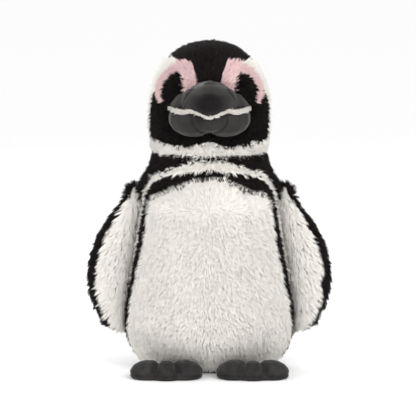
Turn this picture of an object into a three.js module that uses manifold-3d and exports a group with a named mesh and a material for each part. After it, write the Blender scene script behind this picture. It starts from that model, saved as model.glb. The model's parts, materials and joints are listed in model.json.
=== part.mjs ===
// Plush penguin: fur panels sewn round stuffed cores, with a velour beak and velour feet.
// Millimetres, +Z up. The face looks along -Y, and the origin is on the floor under the middle of the body.

import * as THREE from 'three';
import { mergeVertices } from 'three/addons/utils/BufferGeometryUtils.js';
import Module from 'manifold-3d';

const wasm = await Module();
wasm.setup();

// Overall sizes
const BODY_WIDTH = 168; // side to side, at the widest
const BODY_DEPTH = 142; // front to back, at the widest
const NECK_HEIGHT = 219; // floor to neck seam
const NECK_RADIUS = 56.5; // neck seam, which is round
const HEAD_WIDTH = 119;
const HEAD_RISE = 110; // neck seam to crown
const HEAD_CHEEK_RISE = 32; // neck seam to the widest level of the head
const HEAD_ROUNDNESS = 2.3; // 2 is an ellipse, more is squarer

// Fabric and stuffing
const FUR = 6; // backing and pile together
const VELOUR = 2;
const SEAM_GAP = 0.4; // between neighbouring panels
const STUFFING_GAP = 1.5; // between a panel and what it holds

// Neck: the seam lies on a ball, so the head turns and nods in it without touching the body
const NECK_PIVOT_RISE = 51; // neck seam to the ball's centre
const NECK_GAP = 0.8; // between the head's seam edge and the body's
const NECK_PAD_THICK = 6;
const NECK_PAD_ANGLE = 26; // degrees, half the pad's spread

// Base, pellets and tail
const BASE_THICK = 3;
const PELLET_RADIUS = 34;
const PELLET_HEIGHT = 38;
const TAIL_LENGTH = 34;
const TAIL_WIDTH = 46;
const TAIL_THICK = 15;
const TAIL_LEVEL = 12; // floor to the tail's middle

// Flippers
const SHOULDER_DROP = 42; // neck seam to the shoulder hinge
const FLIPPER_LENGTH = 139; // hinge to tip
const FLIPPER_WIDTH = 41.5;
const FLIPPER_THICK = 25;
const FLIPPER_ROOT_RADIUS = 8; // the root is round about its hinge
const FLIPPER_REST_GAP = 0.8; // between a hanging flipper and the body
const FLIPPER_FABRIC = 4;

// Feet
const FOOT_WIDTH = 74;
const FOOT_LENGTH = 47; // heel seam to toes
const FOOT_HEIGHT = 17;
const FOOT_SPACING = 85; // between the middles of the two feet
const FOOT_HEEL = 45; // how far in front of the middle the heel seam lies
const SOLE_THICK = 2.3;

// Beak
const BEAK_WIDTH = 82;
const BEAK_REACH = 38; // in front of the head's fur
const BEAK_UPPER_RISE = 29.5;
const BEAK_LOWER_DROP = 26.5;
const MOUTH_RISE = 44.5; // neck seam to the mouth
const MOUTH_DIP = 5.5; // how far the mouth falls at its middle
const MOUTH_DIP_HALF = 19; // half the width of that dip
const MOUTH_TRIM = 3.2; // at the sides; less in the dip
const MOUTH_TRIM_DEPTH = 5;
const MOUTH_TRIM_PROUD = 1;

// Eyes
const EYE_RADIUS = 5;
const EYE_ANGLE = 39; // degrees from straight ahead
const EYE_RISE = 67; // neck seam to the eye
const EYE_SUNK = 8; // from the pile's surface to the middle of the eye
const EYE_STEM_RADIUS = 1.6;
const EYE_STEM_LENGTH = 13;
const WASHER_RADIUS = 8;
const WASHER_THICK = 1.6;
const WASHER_CLEARANCE = 0.4;

// Facets
const TURN_STEPS = 26; // round the body and the head
const CORE_STEPS = 16; // round what lies inside them
const BAND_STEPS = 2; // between two points of a stripe's outline
const BALL_STEPS = 14; // round an ellipsoid

const NECK_PIVOT = NECK_HEIGHT + NECK_PIVOT_RISE;
const NECK_BALL = Math.hypot(NECK_RADIUS, NECK_PIVOT_RISE);
const HEAD_TOP = NECK_HEIGHT + HEAD_RISE;
const CHEEK_LEVEL = NECK_HEIGHT + HEAD_CHEEK_RISE;
const MOUTH_LEVEL = NECK_HEIGHT + MOUTH_RISE;
const PANEL_FOOT = BASE_THICK + SEAM_GAP;
const rad = THREE.MathUtils.degToRad;
const lerp = THREE.MathUtils.lerp;

const COLOURS = {
  white_fur: 0xe6e4dd,
  black_fur: 0x1d1718,
  pink_fur: 0xdebfc1,
  velour: 0x3c3a39,
  trim: 0xdedad0,
  fabric: 0x262223,
  stuffing: 0xf0efea,
  pellets: 0xc9c6bd,
  plastic: 0x0b0a0a,
};
const ROUGHNESS = { plastic: 0.15 };
const penguin = new THREE.Group();

// Adds a named mesh of one material.
function add(name, geometry, material) {
  const look = new THREE.MeshStandardMaterial({
    color: COLOURS[material],
    roughness: ROUGHNESS[material] ?? 0.95,
    metalness: 0,
  });
  const mesh = new THREE.Mesh(geometry, look);
  mesh.name = name;
  penguin.add(mesh);
}

// ---------- solids ----------

// The signed volume of a triangle mesh: negative when its faces point in.
function signedVolume(points, faces) {
  let sum = 0;
  for (let i = 0; i < faces.length; i += 3) {
    const [a, b, c] = [points[faces[i]], points[faces[i + 1]], points[faces[i + 2]]];
    sum += a.dot(b.clone().cross(c));
  }
  return sum;
}

// A geometry of points and triangle corners, with its faces pointing out.
function closedGeometry(points, faces) {
  if (signedVolume(points, faces) < 0) faces.reverse();
  const geometry = new THREE.BufferGeometry();
  geometry.setAttribute('position', new THREE.Float32BufferAttribute(points.flatMap((p) => p.toArray()), 3));
  geometry.setIndex(faces);
  return geometry;
}

// A panel: the space between two surfaces of the same two parameters, each from 0 to 1.
function panel(outer, inner, acrossSteps, alongSteps) {
  const points = [];
  const faces = [];
  const row = acrossSteps + 1;
  const side = row * (alongSteps + 1);
  for (const surface of [outer, inner]) {
    for (let j = 0; j <= alongSteps; j += 1) {
      for (let i = 0; i <= acrossSteps; i += 1) points.push(surface(i / acrossSteps, j / alongSteps));
    }
  }
  const quad = (a, b, c, d) => faces.push(a, b, c, a, c, d);
  for (let j = 0; j < alongSteps; j += 1) {
    for (let i = 0; i < acrossSteps; i += 1) {
      const k = j * row + i;
      quad(k, k + 1, k + row + 1, k + row);
      quad(side + k, side + k + row, side + k + row + 1, side + k + 1);
    }
  }
  for (let i = 0; i < acrossSteps; i += 1) {
    const top = alongSteps * row + i;
    quad(i, side + i, side + i + 1, i + 1);
    quad(top, top + 1, side + top + 1, side + top);
  }
  for (let j = 0; j < alongSteps; j += 1) {
    const left = j * row;
    const right = left + acrossSteps;
    quad(left, left + row, side + left + row, side + left);
    quad(right, side + right, side + right + row, right + row);
  }
  return closedGeometry(points, faces);
}

// A closed surface through rings. Each ring gives a point for an angle; the first and last are single points.
function loft(rings, steps) {
  const points = [rings[0](0)];
  for (const ring of rings.slice(1, -1)) {
    for (let i = 0; i < steps; i += 1) points.push(ring((i / steps) * 2 * Math.PI));
  }
  points.push(rings.at(-1)(0));
  const faces = [];
  const last = points.length - 1;
  const start = (k) => 1 + k * steps;
  for (let i = 0; i < steps; i += 1) {
    const next = (i + 1) % steps;
    faces.push(0, start(0) + next, start(0) + i);
    for (let k = 0; k < rings.length - 3; k += 1) {
      const [a, b] = [start(k) + i, start(k) + next];
      const [c, d] = [start(k + 1) + next, start(k + 1) + i];
      faces.push(a, b, c, a, c, d);
    }
    faces.push(last, start(rings.length - 3) + i, start(rings.length - 3) + next);
  }
  return closedGeometry(points, faces);
}

// A ring of half width a and half depth b round (x, y), at height z.
function ovalRing(a, b, x, y, z) {
  return (turn) => new THREE.Vector3(x + a * Math.sin(turn), y - b * Math.cos(turn), z);
}

// A solid of revolution from a profile of [radius, height] that starts and ends on the axis.
function revolved(profile, steps = TURN_STEPS) {
  return loft(profile.map(([radius, z]) => ovalRing(radius, radius, 0, 0, z)), steps);
}

// A solid for cutting and joining, from a closed geometry.
function solid(geometry) {
  const bare = new THREE.BufferGeometry();
  bare.setAttribute('position', geometry.getAttribute('position').clone());
  bare.setIndex(geometry.getIndex());
  const merged = mergeVertices(bare, 1e-4);
  return new wasm.Manifold(new wasm.Mesh({
    numProp: 3,
    vertProperties: new Float32Array(merged.getAttribute('position').array),
    triVerts: new Uint32Array(merged.getIndex().array),
  }));
}

// The geometry of a cut or joined solid.
function geometryOf(body) {
  const mesh = body.getMesh();
  const geometry = new THREE.BufferGeometry();
  geometry.setAttribute('position', new THREE.Float32BufferAttribute(mesh.vertProperties, 3));
  geometry.setIndex([...mesh.triVerts]);
  return geometry;
}

// A box between two corners.
function boxSolid(low, high) {
  const size = high.map((value, k) => value - low[k]);
  const box = new THREE.BoxGeometry(...size);
  box.translate(...low.map((value, k) => value + size[k] / 2));
  return solid(box);
}

// An ellipsoid { at, size } with half axes in mm, grown by so much all round.
function ellipsoid({ at, size }, grow = 0) {
  const ball = new THREE.SphereGeometry(1, BALL_STEPS, BALL_STEPS / 2);
  ball.rotateX(Math.PI / 2);
  ball.scale(...size.map((half) => half + grow));
  ball.translate(...at);
  return solid(ball);
}

// Ellipsoids joined into one solid.
function lobes(list, grow = 0) {
  return list.map((lobe) => ellipsoid(lobe, grow)).reduce((sum, next) => sum.add(next));
}

// ---------- outlines round the upright axis, in degrees from the front and mm of height ----------

const SECTOR_STEP = 8; // degrees or mm

// An outline moved out by so much, with long sides divided.
function grownOutline(outline, grow) {
  const points = [];
  outline.forEach(([angle, z], i) => {
    const [nextAngle, nextZ] = outline[(i + 1) % outline.length];
    const length = Math.max(Math.abs(nextAngle - angle), Math.abs(nextZ - z));
    const parts = Math.ceil(length / SECTOR_STEP);
    for (let k = 0; k < parts; k += 1) {
      points.push(new THREE.Vector2(lerp(angle, nextAngle, k / parts), lerp(z, nextZ, k / parts)));
    }
  });
  const out = THREE.ShapeUtils.area(points) > 0 ? 1 : -1;
  const sideways = (from, to) => {
    const along = to.clone().sub(from).normalize();
    return new THREE.Vector2(out * along.y, -out * along.x);
  };
  return points.map((point, i) => {
    const before = sideways(points[(i + points.length - 1) % points.length], point);
    const after = sideways(point, points[(i + 1) % points.length]);
    const reach = grow / Math.max(0.3, 1 + before.dot(after));
    return point.clone().addScaledVector(before.add(after), reach);
  });
}

// The space seen from the upright axis through an outline.
function sector(outline, grow = 0) {
  const radii = [20, HEAD_WIDTH / 2 + FUR, 2 * HEAD_WIDTH];
  const edge = grownOutline(outline, grow);
  const triangles = THREE.ShapeUtils.triangulateShape(edge, []);
  const place = (radius) => edge.map(({ x, y }) => (
    new THREE.Vector3(radius * Math.sin(rad(x)), -radius * Math.cos(rad(x)), y)
  ));
  const points = radii.flatMap(place);
  const faces = [];
  const n = edge.length;
  const last = n * (radii.length - 1);
  for (const [a, b, c] of triangles) faces.push(a, c, b, last + a, last + b, last + c);
  const turn = THREE.ShapeUtils.area(edge) > 0 ? 1 : -1;
  for (let k = 0; k < last; k += 1) {
    const next = k % n === n - 1 ? k + 1 - n : k + 1;
    if (turn > 0) faces.push(k, next, n + next, k, n + next, n + k);
    else faces.push(k, n + next, next, k, n + k, n + next);
  }
  return solid(closedGeometry(points, faces));
}

const mirrored = (outline) => outline.map(([angle, z]) => [-angle, z]);

// ---------- body ----------

// The body's sections: share of the height to the neck, half width, half depth and shift to the back in mm.
// Below the widest, width and depth are shares of the greatest. Above it they run from 0 at the neck to 1 there.
const BODY_BELOW = [
  [0.0, 0.673, 0.62, 5],
  [0.05, 0.846, 0.745, 4],
  [0.09, 0.918, 0.847, 3],
  [0.135, 0.97, 0.93, 2],
];
const BODY_ABOVE = [
  [0.205, 1.0, 1.0, 0],
  [0.31, 0.96, 0.97, 0],
  [0.415, 0.84, 0.86, 0],
  [0.555, 0.67, 0.65, 0],
  [0.73, 0.455, 0.31, 0],
  [0.84, 0.31, 0.12, 0],
  [0.92, 0.14, 0.04, 0],
  [1.0, 0.0, 0.0, 0],
];
const bodySections = [
  ...BODY_BELOW.map(([share, width, depth, shift]) => [
    share, (BODY_WIDTH / 2) * width, (BODY_DEPTH / 2) * depth, shift,
  ]),
  ...BODY_ABOVE.map(([share, width, depth, shift]) => [
    share, lerp(NECK_RADIUS, BODY_WIDTH / 2, width), lerp(NECK_RADIUS, BODY_DEPTH / 2, depth), shift,
  ]),
];
const bodyShape = new THREE.CubicInterpolant(
  bodySections.map((row) => row[0]),
  bodySections.flatMap((row) => row.slice(1)),
  3,
);

// Half width, half depth and shift of the body's section at a share of the height to the neck.
function bodySection(share) {
  const [a, b, shift] = bodyShape.evaluate(share);
  return { a, b, shift };
}

// The height of the neck's ball at a distance from the axis, on the body's side or the head's.
function ballHeight(radius, grow) {
  return NECK_PIVOT - Math.sqrt((NECK_BALL + grow) ** 2 - radius ** 2);
}

// A point of the body's surface, so far in from it. The angle is in degrees from the front.
function bodyPoint(angle, share, inset = 0) {
  const { a, b, shift } = bodySection(share);
  const nearNeck = THREE.MathUtils.smoothstep(share, 0.85, 1);
  const neckHeight = ballHeight(NECK_RADIUS - inset, NECK_GAP / 2);
  return new THREE.Vector3(
    (a - inset) * Math.sin(rad(angle)),
    shift - (b - inset) * Math.cos(rad(angle)),
    share * NECK_HEIGHT + nearNeck * (neckHeight - NECK_HEIGHT),
  );
}

// Outlines of the belly and of the two stripes round it, from the top middle down the side: degrees and share
// of the height to the neck. The same place in each list is the same place along the stripes.
const FOOT_SHARE = PANEL_FOOT / NECK_HEIGHT;
const BELLY_EDGE = [
  [1.5, 0.891], [15, 0.879], [30, 0.842], [47, 0.811], [60, 0.79], [64, 0.72],
  [64, 0.61], [67, 0.49], [71, 0.37], [75, 0.25], [80, 0.134], [84, FOOT_SHARE],
];
const BLACK_STRIPE_EDGE = [
  [1.5, 0.937], [16, 0.926], [33, 0.914], [52, 0.893], [66, 0.857], [75, 0.78],
  [77, 0.65], [79, 0.51], [84, 0.38], [88, 0.255], [91, 0.134], [95, FOOT_SHARE],
];
const WHITE_STRIPE_EDGE = [
  [1.5, 0.981], [15, 0.973], [31, 0.95], [48, 0.926], [68, 0.893], [82, 0.82],
  [87, 0.68], [88, 0.53], [92, 0.39], [96, 0.262], [99, 0.134], [103, FOOT_SHARE],
];
const COLLAR_CORNER = 5; // the place in the white stripe's outline where the collar meets the back
const COLLAR_END = 92; // degrees, where the collar's side seam reaches the neck

const EDGE_INTERVALS = BELLY_EDGE.length - 1;
const edgeCurve = (edge) => new THREE.SplineCurve(edge.map((place) => new THREE.Vector2(...place)));
const bellyEdge = edgeCurve(BELLY_EDGE);
const blackEdge = edgeCurve(BLACK_STRIPE_EDGE);
const whiteEdge = edgeCurve(WHITE_STRIPE_EDGE);

// A point of an edge, moved out from the belly by so many mm.
function edgePoint(curve, s, out) {
  const point = curve.getPoint(s);
  const ahead = curve.getPoint(Math.min(1, s + 0.01));
  const behind = curve.getPoint(Math.max(0, s - 0.01));
  const side = new THREE.Vector2(ahead.x - behind.x, (ahead.y - behind.y) * NECK_HEIGHT).normalize();
  const level = s === 1 ? point.y : point.y + (side.x * out) / NECK_HEIGHT;
  return new THREE.Vector2(point.x - side.y * out, level);
}

// A panel on the body. The place function gives an angle and a share of the height.
function bodyPanel(place, acrossSteps, alongSteps) {
  const surface = (inset) => (u, v) => {
    const point = place(u, v);
    return bodyPoint(point.x, point.y, inset);
  };
  return panel(surface(0), surface(FUR), acrossSteps, alongSteps);
}

// A stripe between two edges, over the top of the belly and down both sides.
function stripe(innerEdge, outerEdge) {
  const place = (u, v) => {
    const s = Math.abs(2 * v - 1);
    const side = v < 0.5 ? -1 : 1;
    const inner = edgePoint(innerEdge, s, SEAM_GAP / 2);
    const outer = edgePoint(outerEdge, s, -SEAM_GAP / 2);
    const point = inner.lerp(outer, u);
    if (s === 0) point.x = 0;
    point.x *= side;
    return point;
  };
  return bodyPanel(place, 1, 2 * BAND_STEPS * EDGE_INTERVALS);
}

function bellyHalf(side) {
  const seam = Math.atan2(SEAM_GAP / 2, BODY_DEPTH / 2) * THREE.MathUtils.RAD2DEG;
  const place = (u, v) => {
    const edge = edgePoint(bellyEdge, v, -SEAM_GAP / 2);
    return new THREE.Vector2(side * lerp(seam, Math.max(edge.x, 2 * seam), u), edge.y);
  };
  return bodyPanel(place, 4, BAND_STEPS * EDGE_INTERVALS);
}

function collar() {
  const reach = COLLAR_CORNER / EDGE_INTERVALS;
  const place = (u, v) => {
    const s = Math.abs(2 * u - 1);
    const side = u < 0.5 ? -1 : 1;
    const low = edgePoint(whiteEdge, s * reach, SEAM_GAP / 2);
    const high = new THREE.Vector2(s * COLLAR_END, 1);
    const point = low.lerp(high, v);
    if (s === 0) point.x = 0;
    point.x *= side;
    return point;
  };
  return bodyPanel(place, 2 * BAND_STEPS * COLLAR_CORNER, 2);
}

function backHalf(side) {
  const seam = 180 - Math.atan2(SEAM_GAP / 2, BODY_DEPTH / 2) * THREE.MathUtils.RAD2DEG;
  const lowSteps = BAND_STEPS * (EDGE_INTERVALS - COLLAR_CORNER);
  const highSteps = 4;
  const steps = lowSteps + highSteps;
  const corner = whiteEdge.getPoint(COLLAR_CORNER / EDGE_INTERVALS);
  const place = (u, v) => {
    const k = Math.round(v * steps);
    let front;
    if (k <= lowSteps) {
      front = edgePoint(whiteEdge, 1 - (k / BAND_STEPS) / EDGE_INTERVALS, SEAM_GAP / 2);
    } else {
      front = corner.clone().lerp(new THREE.Vector2(COLLAR_END, 1), (k - lowSteps) / highSteps);
    }
    if (k >= lowSteps) front.x += SEAM_GAP;
    return new THREE.Vector2(side * lerp(front.x, seam, u), front.y);
  };
  return bodyPanel(place, 5, steps);
}

// The body's stuffing has a bowl for the neck on top and a pocket for the pellets underneath.
function bodyStuffing() {
  const inset = FUR + STUFFING_GAP;
  const foot = PANEL_FOOT + STUFFING_GAP;
  const pocket = PELLET_RADIUS + STUFFING_GAP;
  const pocketTop = foot + PELLET_HEIGHT + STUFFING_GAP;
  const centre = bodySection(0).shift;
  const rings = [
    ovalRing(0, 0, 0, centre, pocketTop),
    ovalRing(pocket, pocket, 0, centre, pocketTop),
    ovalRing(pocket, pocket, 0, centre, foot),
  ];
  const levels = 9;
  const low = foot / NECK_HEIGHT;
  for (let k = 0; k <= levels; k += 1) {
    const share = lerp(low, 1, k / levels);
    rings.push((turn) => bodyPoint(THREE.MathUtils.radToDeg(turn), share, inset));
  }
  const bowlRadius = NECK_RADIUS - inset;
  for (const part of [0.85, 0.65, 0.4]) {
    const radius = bowlRadius * part;
    rings.push(ovalRing(radius, radius, 0, 0, ballHeight(radius, NECK_GAP)));
  }
  rings.push(ovalRing(0, 0, 0, 0, ballHeight(0, NECK_GAP)));
  return loft(rings, CORE_STEPS);
}

function pelletBag() {
  const centre = bodySection(0).shift;
  const foot = PANEL_FOOT + STUFFING_GAP;
  const rings = [ovalRing(0, 0, 0, centre, foot)];
  for (const part of [0.1, 0.35, 0.65, 0.9]) {
    const radius = PELLET_RADIUS * Math.sin(Math.PI * part) ** 0.4;
    rings.push(ovalRing(radius, radius, 0, centre, foot + PELLET_HEIGHT * part));
  }
  rings.push(ovalRing(0, 0, 0, centre, foot + PELLET_HEIGHT));
  return loft(rings, CORE_STEPS);
}

function basePanel() {
  const { a, b, shift } = bodySection(0);
  const rings = [
    ovalRing(0, 0, 0, shift, 0),
    ovalRing(a, b, 0, shift, 0),
    ovalRing(a, b, 0, shift, BASE_THICK),
    ovalRing(0, 0, 0, shift, BASE_THICK),
  ];
  return loft(rings, TURN_STEPS);
}

// The short tail: two fur panels that meet at a level seam, round a little stuffing.
function addTail() {
  const section = bodySection(TAIL_LEVEL / NECK_HEIGHT);
  const root = section.shift + section.b;
  const tail = { at: [0, root, TAIL_LEVEL], size: [TAIL_WIDTH / 2, TAIL_LENGTH, TAIL_THICK / 2] };
  const wall = 3;
  const torso = bodyEnvelope(SEAM_GAP);
  const outer = ellipsoid(tail).subtract(torso);
  const skin = outer.subtract(ellipsoid(tail, -wall));
  const core = ellipsoid(tail, -wall - STUFFING_GAP / 2).subtract(torso);
  const far = 500;
  const upper = boxSolid([-far, -far, TAIL_LEVEL + SEAM_GAP / 2], [far, far, far]);
  const lower = boxSolid([-far, -far, -far], [far, far, TAIL_LEVEL - SEAM_GAP / 2]);
  add('tail_upper_panel', geometryOf(skin.intersect(upper)), 'black_fur');
  add('tail_lower_panel', geometryOf(skin.intersect(lower)), 'black_fur');
  add('tail_stuffing', geometryOf(core), 'stuffing');
}

// The whole body's outside as one solid, grown by so much.
function bodyEnvelope(grow) {
  const levels = 16;
  const rings = [ovalRing(0, 0, 0, 0, -grow)];
  for (let k = 0; k <= levels; k += 1) {
    const share = k / levels;
    rings.push((turn) => bodyPoint(THREE.MathUtils.radToDeg(turn), share, -grow));
  }
  rings.push(ovalRing(0, 0, 0, 0, NECK_HEIGHT));
  return solid(loft(rings, TURN_STEPS));
}

function addBody() {
  add('belly_panel_left', bellyHalf(-1), 'white_fur');
  add('belly_panel_right', bellyHalf(1), 'white_fur');
  add('chest_stripe_black', stripe(bellyEdge, blackEdge), 'black_fur');
  add('chest_stripe_white', stripe(blackEdge, whiteEdge), 'white_fur');
  add('collar_panel', collar(), 'black_fur');
  add('back_panel_left', backHalf(-1), 'black_fur');
  add('back_panel_right', backHalf(1), 'black_fur');
  add('base_panel', basePanel(), 'fabric');
  add('body_stuffing', bodyStuffing(), 'stuffing');
  add('pellet_bag', pelletBag(), 'pellets');
  addTail();
}

// ---------- neck ----------

function neckPad() {
  const low = NECK_BALL - NECK_GAP / 2;
  const high = low - NECK_PAD_THICK;
  const steps = 3;
  const profile = [];
  const point = (ball, k) => {
    const angle = rad(NECK_PAD_ANGLE * (k / steps));
    return [ball * Math.sin(angle), NECK_PIVOT - ball * Math.cos(angle)];
  };
  for (let k = 0; k <= steps; k += 1) profile.push(point(low, k));
  for (let k = steps; k >= 0; k -= 1) profile.push(point(high, k));
  return revolved(profile, CORE_STEPS);
}

// ---------- head ----------

// The head's profile from its seam edge to its top, so far in from the surface, as [radius, height].
function headProfile(inset, lowSteps = 3, highSteps = 8) {
  const radius = HEAD_WIDTH / 2;
  const rise = HEAD_TOP - CHEEK_LEVEL;
  const seam = ballHeight(NECK_RADIUS - inset, -NECK_GAP / 2);
  const profile = [];
  for (let k = 0; k < lowSteps; k += 1) {
    const share = k / lowSteps;
    const wide = radius - (radius - NECK_RADIUS) * (1 - share) ** 2 - inset;
    profile.push([wide, lerp(seam, CHEEK_LEVEL, share)]);
  }
  for (let k = 0; k <= highSteps; k += 1) {
    const turn = (Math.PI / 2) * (k / highSteps);
    const across = k === highSteps ? 0 : Math.cos(turn) ** (2 / HEAD_ROUNDNESS);
    const up = Math.sin(turn) ** (2 / HEAD_ROUNDNESS);
    profile.push([(radius - inset) * across, CHEEK_LEVEL + (rise - inset) * up]);
  }
  return profile;
}

// The head's fur as one open shell, before it is divided into panels.
function headShell() {
  return solid(revolved([...headProfile(0).reverse(), ...headProfile(FUR)]));
}

// The inside of the fur, filled and closed at the bottom by a ball about the neck's pivot.
function headCore(inset) {
  const profile = headProfile(inset, 2, 6).reverse();
  const [edge] = profile.at(-1);
  const ball = NECK_BALL - NECK_GAP - NECK_PAD_THICK;
  profile.pop();
  for (const part of [1, 0.7, 0.4, 0]) {
    const radius = edge * part;
    profile.push([radius, NECK_PIVOT - Math.sqrt(ball ** 2 - radius ** 2)]);
  }
  return solid(revolved(profile, CORE_STEPS));
}

// Outlines on the left half of the face: degrees from the front and percent of the head's rise.
const PINK_ARCH = [
  [10, 55], [12.5, 64], [15, 72], [22, 81.5], [33, 84], [44, 82], [60, 76.5], [72, 68], [75, 58], [68, 50],
  [60, 45], [54, 45], [54, 50], [58, 57], [57, 64], [50, 70.5], [41, 73], [33, 71], [28, 63], [26, 50],
];
const CHEEK = [
  [0, 40], [0, 12], [8, 9], [23, 6.5], [35, 8.5], [57, 10], [86, 14], [84, 26], [84, 42], [80, 52],
  [72, 60], [58, 72], [44, 80], [30, 74], [20, 55],
];
const BROW = [
  [30, 74], [36, 82], [50, 82.5], [63, 83], [80, 82], [100, 78], [117, 67], [123, 51], [119, 31], [112, 14.5],
  [80, 14.5], [76, 50],
];
const CHIN = [[-1, 17], [84, 17], [112, 14.5], [112, -12], [-1, -12]]; // up to the cheeks, which are cut first
const HEAD_BACK_SEAM = 5; // how far behind the middle the crown ends

const headLevel = (percent) => NECK_HEIGHT + HEAD_RISE * (percent / 100);
const onHead = (outline) => outline.map(([angle, percent]) => [angle, headLevel(percent)]);

// The right half of the mouth's line: x, height over its level, and the trim's thickness as a share.
const MOUTH_LINE = [
  [0, -MOUTH_DIP, 0.7],
  [0.55 * MOUTH_DIP_HALF, -0.42 * MOUTH_DIP, 0.7],
  [MOUTH_DIP_HALF, 0.7, 1],
  [0.68 * (BEAK_WIDTH / 2), -0.8, 1.1],
  [BEAK_WIDTH / 2, 1.4, 0.8],
  [BEAK_WIDTH, 1.4, 0.8],
];

// A slab along Y between two lines over the mouth's own. Each line gives a height for the trim's thickness.
function mouthSolid(low, high) {
  const half = MOUTH_LINE.map(([x, z, share]) => [x, MOUTH_LEVEL + z, MOUTH_TRIM * share]);
  const line = [...half.slice(1).map(([x, ...rest]) => [-x, ...rest]).reverse(), ...half];
  const upper = line.map(([x, z, thick]) => new THREE.Vector2(x, z + high(thick)));
  const lower = line.map(([x, z, thick]) => new THREE.Vector2(x, z + low(thick))).reverse();
  const shape = new THREE.Shape([...upper, ...lower]);
  const bar = new THREE.ExtrudeGeometry(shape, { depth: 4 * BEAK_WIDTH, bevelEnabled: false });
  bar.rotateX(Math.PI / 2);
  bar.translate(0, 2 * BEAK_WIDTH, 0);
  return solid(bar);
}

// The beak's lobes: a ridge and two side flaps above the mouth, two side lobes and a chin below it.
function beakLobes() {
  const front = HEAD_WIDTH / 2;
  const half = BEAK_WIDTH / 2;
  const tip = front + BEAK_REACH;
  const ridgeDepth = 45;
  const flapDepth = 27;
  const sideDepth = 33;
  const chinDepth = 37;
  const upper = [
    { at: [0, -(tip - ridgeDepth), MOUTH_LEVEL - 1], size: [0.76 * half, ridgeDepth, BEAK_UPPER_RISE] },
    { at: [0, -(tip - 24 - flapDepth), MOUTH_LEVEL - 2], size: [half, flapDepth, 0.82 * BEAK_UPPER_RISE] },
  ];
  const lower = [-1, 1].map((side) => ({
    at: [side * 0.4 * half, -(tip - 11 - sideDepth), MOUTH_LEVEL + 18 - BEAK_LOWER_DROP],
    size: [0.6 * half, sideDepth, 18],
  }));
  lower.push({
    at: [0, -(tip - 5 - chinDepth), MOUTH_LEVEL + 18 - BEAK_LOWER_DROP],
    size: [0.43 * half, chinDepth, 15],
  });
  return { upper, lower };
}

function addBeak(cavity) {
  const { upper, lower } = beakLobes();
  const far = () => 2 * BEAK_WIDTH;
  const edge = (thick) => thick / 2 + SEAM_GAP;
  const above = mouthSolid(edge, far);
  const below = mouthSolid((thick) => -far(thick), (thick) => -edge(thick));
  const skin = (list, keep) => (
    lobes(list).subtract(lobes(list, -VELOUR)).intersect(keep).subtract(cavity)
  );
  const core = (list, keep) => (
    lobes(list, -VELOUR - STUFFING_GAP / 2).intersect(keep).subtract(cavity)
  );
  add('beak_upper', geometryOf(skin(upper, above)), 'velour');
  add('beak_lower', geometryOf(skin(lower, below)), 'velour');
  add('beak_upper_stuffing', geometryOf(core(upper, above)), 'stuffing');
  add('beak_lower_stuffing', geometryOf(core(lower, below)), 'stuffing');
  const all = [...upper, ...lower];
  const band = lobes(all, MOUTH_TRIM_PROUD).subtract(lobes(all, -MOUTH_TRIM_DEPTH));
  const trim = band.intersect(mouthSolid((thick) => -thick / 2, (thick) => thick / 2)).subtract(cavity);
  add('mouth_trim', geometryOf(trim), 'trim');
  return beakRoom(upper, lower);
}

// The room that the head's fur leaves for the beak: the upper lobes from the trim up, the lower ones down.
function beakRoom(upper, lower) {
  const grow = MOUTH_TRIM_PROUD + SEAM_GAP;
  const far = () => 2 * BEAK_WIDTH;
  const top = mouthSolid((thick) => -thick, far);
  const bottom = mouthSolid((thick) => -far(thick), (thick) => thick);
  return lobes(upper, grow).intersect(top).add(lobes(lower, grow).intersect(bottom));
}

// A point of the head's surface and the direction out of it, for an eye on one side.
function eyePlace(side) {
  const level = NECK_HEIGHT + EYE_RISE;
  const up = (level - CHEEK_LEVEL) / (HEAD_TOP - CHEEK_LEVEL);
  const radius = (HEAD_WIDTH / 2) * (1 - up ** HEAD_ROUNDNESS) ** (1 / HEAD_ROUNDNESS);
  const angle = rad(EYE_ANGLE * side);
  const out = new THREE.Vector3(Math.sin(angle), -Math.cos(angle), 0.35).normalize();
  return { out, surface: new THREE.Vector3(radius * Math.sin(angle), -radius * Math.cos(angle), level) };
}

// A geometry along +Y turned and moved so that it starts at a point and runs in from the eye.
function alongEye(geometry, side, depth) {
  const { out, surface } = eyePlace(side);
  const turn = new THREE.Quaternion().setFromUnitVectors(new THREE.Vector3(0, 1, 0), out);
  geometry.applyQuaternion(turn);
  geometry.translate(...surface.clone().addScaledVector(out, -depth).toArray());
  return geometry;
}

// The eye with its stem, grown by so much.
function eyeSolid(side, grow) {
  const ball = new THREE.SphereGeometry(EYE_RADIUS + grow, 10, 6);
  const stem = new THREE.CylinderGeometry(EYE_STEM_RADIUS + grow, EYE_STEM_RADIUS + grow, EYE_STEM_LENGTH, 8);
  const stemDepth = EYE_SUNK + EYE_STEM_LENGTH / 2;
  return solid(alongEye(ball, side, EYE_SUNK)).add(solid(alongEye(stem, side, stemDepth)));
}

// The washer that locks the stem behind the fur. With grow it is the room that the stuffing leaves for it.
function washerSolid(side, grow) {
  const radius = WASHER_RADIUS + grow;
  const disc = new THREE.CylinderGeometry(radius, radius, WASHER_THICK + 2 * grow, 12);
  const depth = EYE_SUNK + EYE_RADIUS + WASHER_CLEARANCE + WASHER_THICK / 2;
  return solid(alongEye(disc, side, depth));
}

function addEyes() {
  for (const [name, side] of [['left', -1], ['right', 1]]) {
    add(`eye_${name}`, geometryOf(eyeSolid(side, 0)), 'plastic');
    const washer = washerSolid(side, 0).subtract(eyeSolid(side, WASHER_CLEARANCE));
    add(`eye_washer_${name}`, geometryOf(washer), 'plastic');
  }
}

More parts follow.
